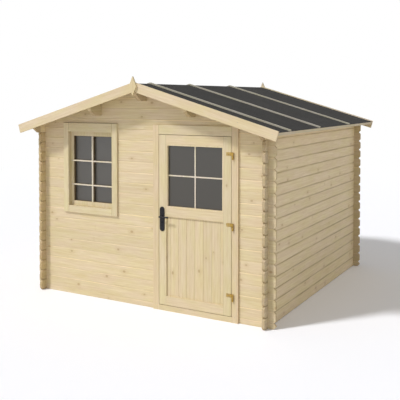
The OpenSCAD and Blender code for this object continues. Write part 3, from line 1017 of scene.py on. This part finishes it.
@dataclass
class Roof:
    """Roof boards, purlins, felt, battens and the boards along the edges.

    Attributes:
        board: Width of one roof board.
        thick: Thickness of the roof boards.
        bevel: Bevel on a board's edges.
        past_ridge: How far boards run past the ridge before they are cut off there.
        board_seam: Share of light lost in the joints between boards.
        board_tone: Factor on the colour of the boards.
        purlin_shade: Painted shade: a factor that darkens the purlins, which lie in shade under the
            roof.
        purlin_end: Depth of a purlin's ends that are painted pale.
        purlin_end_light: Painted light on those ends, as if the sun reached them: a factor on their
            colour.
        batten_tone: Factor on the colour of the battens on the felt.
        edge_tones: Factors on the colour of the front and the back barge boards; the back ones get
            painted shade, greyer and bluer.
        finial_shade_tint: Painted shade on the finial at the back: a greyer, bluer factor on its
            colour.
        lath_tone: Factor on the colour of the laths under the eaves.
    """

    board: float = 0.110
    thick: float = 0.018
    bevel: float = 0.0025
    past_ridge: float = 0.02
    board_seam: float = 0.3
    board_tone: Point = (0.96, 0.95, 0.93)
    purlin_shade: Point = (0.85, 0.845, 0.81)
    purlin_end: float = 0.005
    purlin_end_light: Point = (1.30, 1.34, 1.45)
    batten_tone: Point = (0.62, 0.70, 0.87)
    edge_tones: tuple[Point, Point] = (PLAIN, BACK_SHADE_TINT)
    finial_shade_tint: Point = (0.93, 0.965, 1.09)
    lath_tone: Point = (0.80, 0.83, 0.90)

    def boards(self, side: int) -> None:
        """Lays the boards of one slope, cut off upright at the ridge.

        Args:
            side: +1 for the right slope, -1 for the left one.
        """
        node = "right_roof_boards" if side > 0 else "left_roof_boards"
        low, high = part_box(node)
        front, back = low[1], high[1]
        ridge = Vector((0.0, 0.0, high[2] - self.thick / math.cos(ROOF_PITCH)))
        length = (high[0] if side > 0 else -low[0]) / math.cos(ROOF_PITCH)
        start, end = sorted((-side * self.past_ridge,
                             side * (length - self.thick * math.sin(ROOF_PITCH))))
        count = round((back - front) / self.board)
        width = (back - front) / count
        turn = Matrix.Translation(ridge) @ Matrix.Rotation(side * ROOF_PITCH, 4, "Y")
        shape = Shape()
        for i in range(count):
            shape.block((start, front + i * width, 0.0), (end, front + (i + 1) * width, self.thick),
                        self.bevel, turn)
        shape.trim((0.0, 0.0, 0.0), (-side, 0.0, 0.0))
        finish = Spruce(f"boards_{node}", Axis.X, Axis.Y, width, start=front, face=ridge.z,
                        seed=20 + side, turn_y=-side * ROOF_PITCH, seam=self.board_seam,
                        tone=self.board_tone)
        shape.piece(f"{node}_laid", Body.SHED, finish, "spruce_boards", [node])

    def dress(self) -> None:
        """Gives purlins, felt, battens and edge boards their finishes."""
        purlins = (
            ("ridge_purlin", dict(pitch=5.0, start=-2.5, face=2.20, seed=31)),
            ("side_purlins", dict(pitch=0.9, start=-0.9, face=2.03, seed=32)),
        )
        # Purlins get painted shade, and their ends painted light.
        for node, plan in purlins:
            (_, low, _), (_, high, _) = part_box(node)
            dress(Spruce(f"beams_{node}", Axis.Y, Axis.X, tone=self.purlin_shade,
                         ends=(low + self.purlin_end, high - self.purlin_end),
                         end_tone=self.purlin_end_light, **plan), node)
        dress(RoofFelt(), "left_felt", "right_felt")
        dress(Spruce("laths_on_felt", Axis.X, Axis.Y, pitch=0.6, start=-1.9, face=2.3, seed=33,
                     knots=0.2, tone=self.batten_tone), "felt_battens")
        seed = 34
        for end, tone in zip(("front", "back"), self.edge_tones):
            for word, side in (("left", -1), ("right", 1)):
                node = f"{end}_{word}_barge_board"
                dress(Spruce(f"edge_{node}", Axis.X, Axis.Z, face=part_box(node)[0][1], seed=seed,
                             turn_y=-side * ROOF_PITCH, knots=0.4, tone=tone), node)
                seed += 1
        # The finial at the back gets painted shade.
        dress(Spruce("lozenges", Axis.Z, Axis.X, face=-1.6, seed=38, knots=0.0,
                     ends=(-FAR, 0.0), ends_axis=Axis.Y, end_tone=self.finial_shade_tint), "finials")
        dress(Spruce("laths_eaves", Axis.Y, Axis.Z, face=1.58, seed=39, mirrored=True, knots=0.3,
                     tone=self.lath_tone), "eave_laths")


@dataclass
class Openings:
    """Frames, casings and glass of the door and the window.

    Attributes:
        joint: Width of the dark line where a head casing meets a side casing.
        joint_tone: Factor on the colour there.
        knots: Share of the places for a knot that have one.
        window_pane: Glass of the window.
        door_pane: Glass of the door.
    """

    joint: float = 0.005
    joint_tone: Point = (0.55, 0.49, 0.40)
    knots: float = 0.25
    window_pane: Pane = Pane("window_pane", bend=2.25)
    door_pane: Pane = Pane("door_pane")

    def dress(self) -> None:
        """Gives each member grain along its length, and the panes their glass."""
        uprights = dict(grain=Axis.Z, across=Axis.X, pitch=0.5)
        levels = dict(grain=Axis.X, across=Axis.Z, pitch=0.6, start=0.0)
        plans = (
            ("door_jambs", uprights, 41, PLAIN),
            ("door_head", levels, 42, PLAIN),
            ("door_threshold", levels, 43, PLAIN),
            ("door_side_casings", uprights, 44, WARM),
            ("door_head_casing", levels, 45, GREENISH),
            ("window_side_casings", uprights, 47, GREENISH),
            ("window_head_and_sill_casings", levels, 48, GREENISH),
            # The window frame gets painted shade, as its reveal lies in shade.
            ("window_frame", uprights, 49, SHADED),
            ("window_sash", uprights, 50, GREENISH),
        )
        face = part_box("door_side_casings")[0][1]
        for node, plan, seed, tone in plans:
            (low, _, _), (high, _, _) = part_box(node)
            butted = "head" in node and "casing" in node
            ends = (low + self.joint, high - self.joint) if butted else None
            dress(Spruce(f"joinery_{node}", face=face, seed=seed, knots=self.knots, tone=tone,
                         ends=ends, end_tone=self.joint_tone, **plan), node)
        dress(self.window_pane, "window_glass")
        dress(self.door_pane, "door_glass")


@dataclass(frozen=True)
class Lattice:
    """Bars that divide a pane: an upright one and some level ones.

    Attributes:
        pane: Node of the glass.
        upright_w: Width of the upright bar.
        level_w: Height of a level bar.
        level_z: Heights of the level bars' middles.
        step: How far the level bars' front lies behind the upright bar's.
    """

    pane: str
    upright_w: float
    level_w: float
    level_z: tuple[float, ...]
    step: float = 0.0005

    def add(self, shape: Shape, y0: float, y1: float, bevel: float = 0.0, reach: float = 0.0,
            slim: float = 0.0) -> None:
        """Adds the bars to a mesh.

        Args:
            shape: The mesh.
            y0: Front of the upright bar.
            y1: Back of all bars.
            bevel: Bevel on their edges.
            reach: How far the level bars run past the pane.
            slim: How much narrower than the lattice's own bars they are.
        """
        low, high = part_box(self.pane)
        middle = (low[0] + high[0]) / 2
        half = (self.upright_w - slim) / 2
        shape.block((middle - half, y0, low[2]), (middle + half, y1, high[2]), bevel)
        half = (self.level_w - slim) / 2
        for z in self.level_z:
            shape.block((low[0] - reach, y0 + self.step, z - half),
                        (high[0] + reach, y1, z + half), bevel)


@dataclass
class WindowBars:
    """Bars that divide the window into six panes, and a dark seal round each pane that also stands as
    painted shade.

    Attributes:
        lattice: The bars.
        proud: How far they stand off the sash's face.
        sunk: How far they reach in from that face over the panes.
        lip: How far the level bars reach over the sash's stiles.
        inner: Thickness of the bars behind the glass.
        seal: Thickness of the seal along the sash, a dark strip that also stands as painted shade.
        seal_depth: How far that seal reaches out from the glass.
        bead: Height of a dark strip over the head casing, a painted shadow line in the shape of a bead
            of sealant.
        bevel: Bevel on the bars' edges.
    """

    lattice: Lattice = Lattice("window_glass", 0.0155, 0.0145, (1.513, 1.243))
    proud: float = 0.004
    sunk: float = 0.014
    lip: float = 0.034
    inner: float = 0.006
    seal: float = 0.003
    seal_depth: float = 0.021
    bead: float = 0.0025
    bevel: float = 0.0015

    def build(self) -> None:
        """Makes the bars, and the dark seal that also stands as painted shade."""
        low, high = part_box("window_glass")
        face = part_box("window_sash")[0][1]
        bars = Shape()
        self.lattice.add(bars, face - self.proud, face, self.bevel, self.lip)
        self.lattice.add(bars, face, face + self.sunk)
        self.lattice.add(bars, high[1], high[1] + self.inner, self.bevel)
        finish = Spruce("joinery_window_bars", Axis.Z, Axis.X, face=face, seed=51, knots=0.0,
                        tone=PALE)
        bars.piece("window_bars", Body.SHED, finish, "spruce")
        seal = Shape()
        # Dark blocks behind the bars, down to the glass: painted shade in the gaps beside the bars.
        self.lattice.add(seal, face + self.sunk, low[1], slim=2 * self.bevel)
        out = low[1] - self.seal_depth
        for x in (low[0], high[0] - self.seal):
            seal.block((x, out, low[2]), (x + self.seal, low[1], high[2]))
        for z in (low[2], high[2] - self.seal):
            seal.block((low[0], out, z), (high[0], low[1], z + self.seal))
        # A dark strip over the head casing: a painted shadow line.
        (left, front, _), (right, back, top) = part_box("window_side_casings")
        seal.block((left, front + self.bead, top), (right, back, top + self.bead))
        seal.piece("window_seal_and_shade", Body.SHED, ShadeSeal(), "black_iron")


@dataclass
class DoorLeaf:
    """Finish of the leaf and the bars over its glass.

    Attributes:
        lattice: The bars.
        stand: How far the bars stand off the glass.
        bevel: Bevel on the bars' edges.
        board: Width of one board in the lower boarding.
        stile: Width of a stile.
        stile_seam: Share of light lost at the stiles' edges.
        stile_seam_w: How far from an edge the loss reaches.
        board_seam: Share of light lost in the joints of the boarding.
        board_tone: Factor on the colour of the boarding.
        bead_tone: Factor on the colour of the beads round the glass.
    """

    lattice: Lattice = Lattice("door_glass", 0.0145, 0.0145, (1.417,))
    stand: float = 0.006
    bevel: float = 0.0015
    board: float = 0.098
    stile: float = 0.088
    stile_seam: float = 0.17
    stile_seam_w: float = 0.006
    board_seam: float = 0.06
    board_tone: Point = (0.965, 0.968, 0.962)
    bead_tone: Point = (1.06, 1.07, 1.10)

    def build(self) -> None:
        """Makes the bars over the glass."""
        (_, front, _), (_, back, _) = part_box("door_glass")
        shape = Shape()
        self.lattice.add(shape, front - self.stand, front, self.bevel)
        self.lattice.add(shape, back, back + self.stand, self.bevel)
        finish = Spruce("joinery_door_bars", Axis.Z, Axis.X, face=front, seed=61, knots=0.0,
                        tone=PALE)
        shape.piece("door_bars", Body.DOOR, finish, "spruce")

    def dress(self) -> None:
        """Gives stiles, rails, boarding and beads their finishes."""
        outer, face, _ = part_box("door_stiles")[0]
        (left, _, _), (right, _, _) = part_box("door_boarding")
        step = (right - outer) / round((right - outer) / self.stile)
        dress(Spruce("leaf_stiles", Axis.Z, Axis.X, step, start=outer, face=face, seed=62,
                     seam=self.stile_seam, seam_w=self.stile_seam_w, knots=0.25, tone=GREENISH),
              "door_stiles")
        dress(Spruce("leaf_rails", Axis.X, Axis.Z, pitch=0.6, start=0.0, face=face, seed=63,
                     knots=0.3), "door_rails")
        dress(Spruce("leaf_boards", Axis.Z, Axis.X, self.board, start=(left + right) / 2,
                     face=face, seed=64, seam=self.board_seam, knots=0.22,
                     tone=self.board_tone), "door_boarding")
        dress(Spruce("leaf_beads", Axis.Z, Axis.X, face=face, seed=65, knots=0.0,
                     tone=self.bead_tone), "door_glass_beads")


@dataclass
class Fittings:
    """Hinges and handle, with their screws and keyholes, and the lock's plate.

    Attributes:
        brass: Metal of the hinges.
        iron: Metal of the handle.
        dark: Metal of the keyholes and the lever's collars.
        steel: Metal of the hinges' screws and the lock's plate.
        plate_h: Height of a hinge plate.
        plate_t: Its thickness.
        screw: Radius of the screw heads.
        proud: How far screw heads stand out.
        screws: Places of a hinge's screws, from its plate's outer end and its middle.
        end: Distance from a handle plate's end to its screw.
        keyhole_drop: From the lever's axis down to the keyhole's.
        rose: Radius of the keyhole's rose.
        collar: Radius of the lever's collars.
        sides: Number of sides of roses and collars.
        forend: Width and height of the lock's plate on the leaf's edge.
        thin: How far that plate stands out.
    """

    brass: Metal = Metal("yellow_brass", (0.56, 0.37, 0.10), (0.30, 0.19, 0.05), 0.85, 0.34)
    iron: Metal = Metal("black_iron", (0.014, 0.014, 0.018), (0.024, 0.023, 0.028), 0.0, 0.46,
                        0.0004, 0.22)
    dark: Metal = Metal("dark_iron", (0.006, 0.006, 0.009), (0.010, 0.010, 0.013), 0.0, 0.5,
                        specular=0.12)
    steel: Metal = Metal("zinc_plate", (0.52, 0.52, 0.50), (0.38, 0.38, 0.36), 0.9, 0.36)
    plate_h: float = 0.034
    plate_t: float = 0.003
    screw: float = 0.0036
    proud: float = 0.0008
    screws: tuple[tuple[float, float], ...] = (
        (0.010, 0.009), (0.010, -0.009), (0.032, 0.009), (0.032, -0.009))
    end: float = 0.017
    keyhole_drop: float = 0.064
    rose: float = 0.0095
    collar: float = 0.0115
    sides: int = 24
    forend: tuple[float, float] = (0.020, 0.220)
    thin: float = 0.0005

    def dress(self) -> None:
        """Gives hinges and handle their metals."""
        dress(self.brass, "hinge_plates", "hinge_pins")
        dress(self.iron, "handle_plates", "lever_handle")

    def hinge_screws(self) -> None:
        """Sets the screws into the hinge plates."""
        (left, _, bottom), (_, back, top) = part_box("hinge_plates")
        low, high = bottom + self.plate_h / 2, top - self.plate_h / 2
        heads = Shape()
        for z in (low, (low + high) / 2, high):
            for along, up in self.screws:
                heads.disc((left + along, back - self.plate_t, z + up), self.screw, self.proud,
                           self.proud / 3)
        heads.piece("hinge_screws", Body.DOOR, self.steel, "brass")

    def handle(self) -> None:
        """Adds screws, keyholes and collars to both handle plates."""
        low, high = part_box("handle_plates")
        lever_low, lever_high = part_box("lever_handle")
        middle = (low[0] + high[0]) / 2
        axis = (lever_low[2] + lever_high[2]) / 2
        iron, dark = Shape(), Shape()
        for face in (low[1], high[1]):
            for z in (low[2] + self.end, high[2] - self.end):
                iron.disc((middle, face, z), self.screw, self.proud, self.proud / 3)
            dark.disc((middle, face, axis - self.keyhole_drop), self.rose, self.proud,
                      self.proud / 3, self.sides)
            dark.disc((middle, face, axis), self.collar, 2 * self.proud, self.proud, self.sides)
        iron.piece("handle_screws", Body.DOOR, self.iron, "black_iron")
        dark.piece("handle_keyholes", Body.DOOR, self.dark, "black_iron")

    def lock(self) -> None:
        """Lays the lock's plate on the leaf's edge."""
        (edge, front, _), (_, back, _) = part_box("door_stiles")
        (_, _, bottom), (_, _, top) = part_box("handle_plates")
        middle, centre = (front + back) / 2, (bottom + top) / 2
        width, height = self.forend
        plate = Shape()
        plate.block((edge - self.thin, middle - width / 2, centre - height / 2),
                    (edge + self.thin, middle + width / 2, centre + height / 2), self.thin / 3)
        plate.piece("lock_forend", Body.DOOR, self.steel, "black_iron")


@dataclass
class Screws:
    """Screw heads that hold the casings and the barge boards.

    Attributes:
        radius: Radius of a head.
        proud: How far a head stands out.
        sides: Number of its sides.
        step: Greatest distance between two heads.
        edge: From a board's end to its first screw.
        metal: Their metal.
    """

    radius: float = 0.0036
    proud: float = 0.0006
    sides: int = 10
    step: float = 0.45
    edge: float = 0.060
    metal: Metal = Metal("screw_zinc", (0.60, 0.58, 0.50), (0.46, 0.44, 0.38), 0.9, 0.40)

    def places(self, low: float, high: float) -> list[float]:
        """Spreads screws evenly along a board.

        Args:
            low: Where the board starts.
            high: Where it ends.

        Returns:
            Their places.
        """
        start, end = low + self.edge, high - self.edge
        count = max(1, math.ceil((end - start) / self.step))
        return [start + (end - start) * i / count for i in range(count + 1)]

    def head(self, shape: Shape, x: float, face: float, z: float) -> None:
        """Adds one head to a face that looks along Y."""
        shape.disc((x, face, z), self.radius, self.proud, self.proud / 3, self.sides)

    def casings(self, shape: Shape) -> None:
        """Sets the screws of the casings round the door and the window.

        Args:
            shape: The mesh that they are added to.
        """
        for sides, heads in (("door_side_casings", "door_head_casing"),
                             ("window_side_casings", "window_head_and_sill_casings")):
            low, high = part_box(sides)
            inner_low, inner_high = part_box(heads)
            half = (inner_low[0] - low[0]) / 2
            for x in (low[0] + half, high[0] - half):
                for z in self.places(low[2], high[2]):
                    self.head(shape, x, low[1], z)
            for x in self.places(inner_low[0], inner_high[0]):
                self.head(shape, x, inner_low[1], inner_high[2] - half)

    def barge_boards(self, shape: Shape) -> None:
        """Sets the screws of the boards along the roof's edges.

        Args:
            shape: The mesh that they are added to.
        """
        slope = math.tan(ROOF_PITCH)
        for end in ("front", "back"):
            for side, word in ((-1, "left"), (1, "right")):
                low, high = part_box(f"{end}_{word}_barge_board")
                face = low[1] if end == "front" else high[1]
                reach = high[0] if side > 0 else -low[0]
                middle = (high[2] + low[2] + reach * slope) / 2
                for out in self.places(self.edge, reach):
                    self.head(shape, side * out, face, middle - out * slope)

    def build(self) -> None:
        """Makes one piece of all the heads."""
        shape = Shape()
        self.casings(shape)
        self.barge_boards(shape)
        shape.piece("board_screws", Body.SHED, self.metal, "spruce")


@dataclass
class Floor:
    """Floor boards over their bearers.

    Attributes:
        board: Width of one board.
        bevel: Bevel on a board's edges.
        seam: Share of light lost in the joints between boards.
        tone: Factor on the colour of the boards.
        bearer_tone: Factor on the colour of the bearers.
    """

    board: float = 0.115
    bevel: float = 0.002
    seam: float = 0.3
    tone: Point = (0.95, 0.94, 0.92)
    bearer_tone: Point = (0.85, 0.86, 0.84)

    def build(self) -> None:
        """Lays the boards from side to side and dresses the bearers."""
        (left, front, bottom), (right, back, top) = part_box("floor_boards")
        count = round((back - front) / self.board)
        width = (back - front) / count
        shape = Shape()
        for i in range(count):
            shape.block((left, front + i * width, bottom), (right, front + (i + 1) * width, top),
                        self.bevel)
        finish = Spruce("boards_floor", Axis.X, Axis.Y, width, start=front, face=top, seed=71,
                        seam=self.seam, tone=self.tone)
        shape.piece("floor_boards_laid", Body.SHED, finish, "spruce_boards", ["floor_boards"])
        dress(Spruce("beams_floor", Axis.Y, Axis.X, pitch=0.4, start=-1.4, face=0.02, seed=72,
                     tone=self.bearer_tone), "floor_bearers")


# ---------------------------------------------------------------- studio


@dataclass
class Studio:
    """Camera, lamps, floor and backdrop.

    Attributes:
        camera_at: Place of the camera.
        pitch_deg: How far the camera looks down.
        yaw_deg: How far it is turned to the left.
        lens: Focal length in millimetres.
        sensor: Width of the sensor in millimetres.
        shift: Vertical shift of the picture.
        sun_azimuth: Sun to the left of the front, in degrees.
        sun_height: Sun above the horizon, in degrees.
        sun_power: Strength of the sun.
        sun_spread: How wide the sun looks, in degrees.
        sky: Colour of the room's light.
        sky_power: Strength of its even part.
        rim_power: Strength of its part that grows towards the horizon.
        rim_fall: Power by which that part falls off upwards.
        floor_radius: Radius of the floor.
        floor_fade: Distances from the shed at which the floor starts and ends to fade into white.
        floor_bounce: Colour of the floor in the light that it gives back.
        floor_seen: Colour of the floor to the camera.
    """

    camera_at: Point = (3.993, -7.305, 2.224)
    pitch_deg: float = 1.913
    yaw_deg: float = 29.417
    lens: float = 60.564
    sensor: float = 36.0
    shift: float = -0.2
    sun_azimuth: float = 38.0
    sun_height: float = 48.0
    sun_power: float = 2.28
    sun_spread: float = 8.0
    sky: Point = (1.0, 0.99, 0.97)
    sky_power: float = 0.36
    rim_power: float = 0.58
    rim_fall: float = 2.0
    floor_radius: float = 40.0
    floor_fade: tuple[float, float] = (5.0, 14.0)
    floor_bounce: Point = (0.80, 0.788, 0.768)
    floor_seen: Point = (0.99, 1.0, 1.05)

    def camera(self) -> None:
        """Makes the camera."""
        data = bpy.data.cameras.new("camera")
        data.lens, data.sensor_width, data.shift_y = self.lens, self.sensor, self.shift
        thing = bpy.data.objects.new("camera", data)
        thing.location = self.camera_at
        thing.rotation_euler = (math.radians(90 - self.pitch_deg), 0.0, math.radians(self.yaw_deg))
        bpy.context.scene.collection.objects.link(thing)
        bpy.context.scene.camera = thing

    def sun(self) -> None:
        """Makes the one lamp, a soft sun from the front left."""
        data = bpy.data.lights.new("sun", "SUN")
        data.energy, data.angle = self.sun_power, math.radians(self.sun_spread)
        thing = bpy.data.objects.new("sun", data)
        a, e = math.radians(-self.sun_azimuth), math.radians(self.sun_height)
        towards = Vector((math.sin(a) * math.cos(e), -math.cos(a) * math.cos(e), math.sin(e)))
        thing.rotation_euler = towards.to_track_quat("Z", "Y").to_euler()
        bpy.context.scene.collection.objects.link(thing)

    def room(self) -> None:
        """Makes the light of the room, and the white that the camera sees round the shed."""
        world = bpy.data.worlds.new("room")
        bpy.context.scene.world = world
        world.use_nodes = True
        tree = Nodes(world.node_tree)
        up = tree.math("ABSOLUTE", tree.split(tree.read(Reading.DIRECTION))[2])
        rim = tree.math("POWER", tree.minus(1.0, up), self.rim_fall)
        power = tree.line(rim, self.rim_power, self.sky_power)
        light = tree.add("Background", (*self.sky, 1.0), power).outputs[0]
        white = tree.add("Background", (*SAME, 1.0), 1.0).outputs[0]
        _, seen = tree.rays()
        tree.add("OutputWorld", tree.add("MixShader", seen, light, white).outputs[0])

    def ground(self) -> None:
        """Lays a pale floor that fades into the white around it."""
        mesh = bmesh.new()
        bmesh.ops.create_circle(mesh, cap_ends=True, segments=96, radius=self.floor_radius)
        data = bpy.data.meshes.new("ground")
        mesh.to_mesh(data)
        mesh.free()
        tree = Tree("ground_white")
        camera, seen = tree.rays()
        tree.coat(tree.blend(camera, self.floor_bounce, self.floor_seen), 0.9, 0.1)
        x, y, _ = tree.split(tree.read(Reading.PLACE))
        far = tree.ramp(tree.length(x, y), *self.floor_fade)
        white = tree.add("Emission", (*SAME, 1.0), 1.0).outputs[0]
        mix = tree.add("MixShader", tree.times(far, seen), tree.shader.outputs[0], white)
        tree.links.new(mix.outputs[0], tree.output.inputs["Surface"])
        data.materials.append(tree.material)
        floor = bpy.data.objects.new("ground", data)
        bpy.context.scene.collection.objects.link(floor)
        floor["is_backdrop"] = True


def main() -> None:
    """Builds the studio and the shed's parts in order and reports each piece."""
    logging.basicConfig(level=logging.INFO, format="%(message)s")
    studio = Studio()
    studio.camera()
    studio.sun()
    studio.room()
    studio.ground()
    LogWalls().dress()
    roof = Roof()
    for side in (1, -1):
        roof.boards(side)
    roof.dress()
    Openings().dress()
    WindowBars().build()
    leaf = DoorLeaf()
    leaf.build()
    leaf.dress()
    fittings = Fittings()
    fittings.dress()
    fittings.hinge_screws()
    fittings.handle()
    fittings.lock()
    Screws().build()
    Floor().build()
    bpy.context.scene.view_settings.view_transform = "Standard"
    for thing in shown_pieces():
        log.info("%s: %d faces", thing.name, len(thing.data.polygons))


if __name__ == "__main__":
    main()
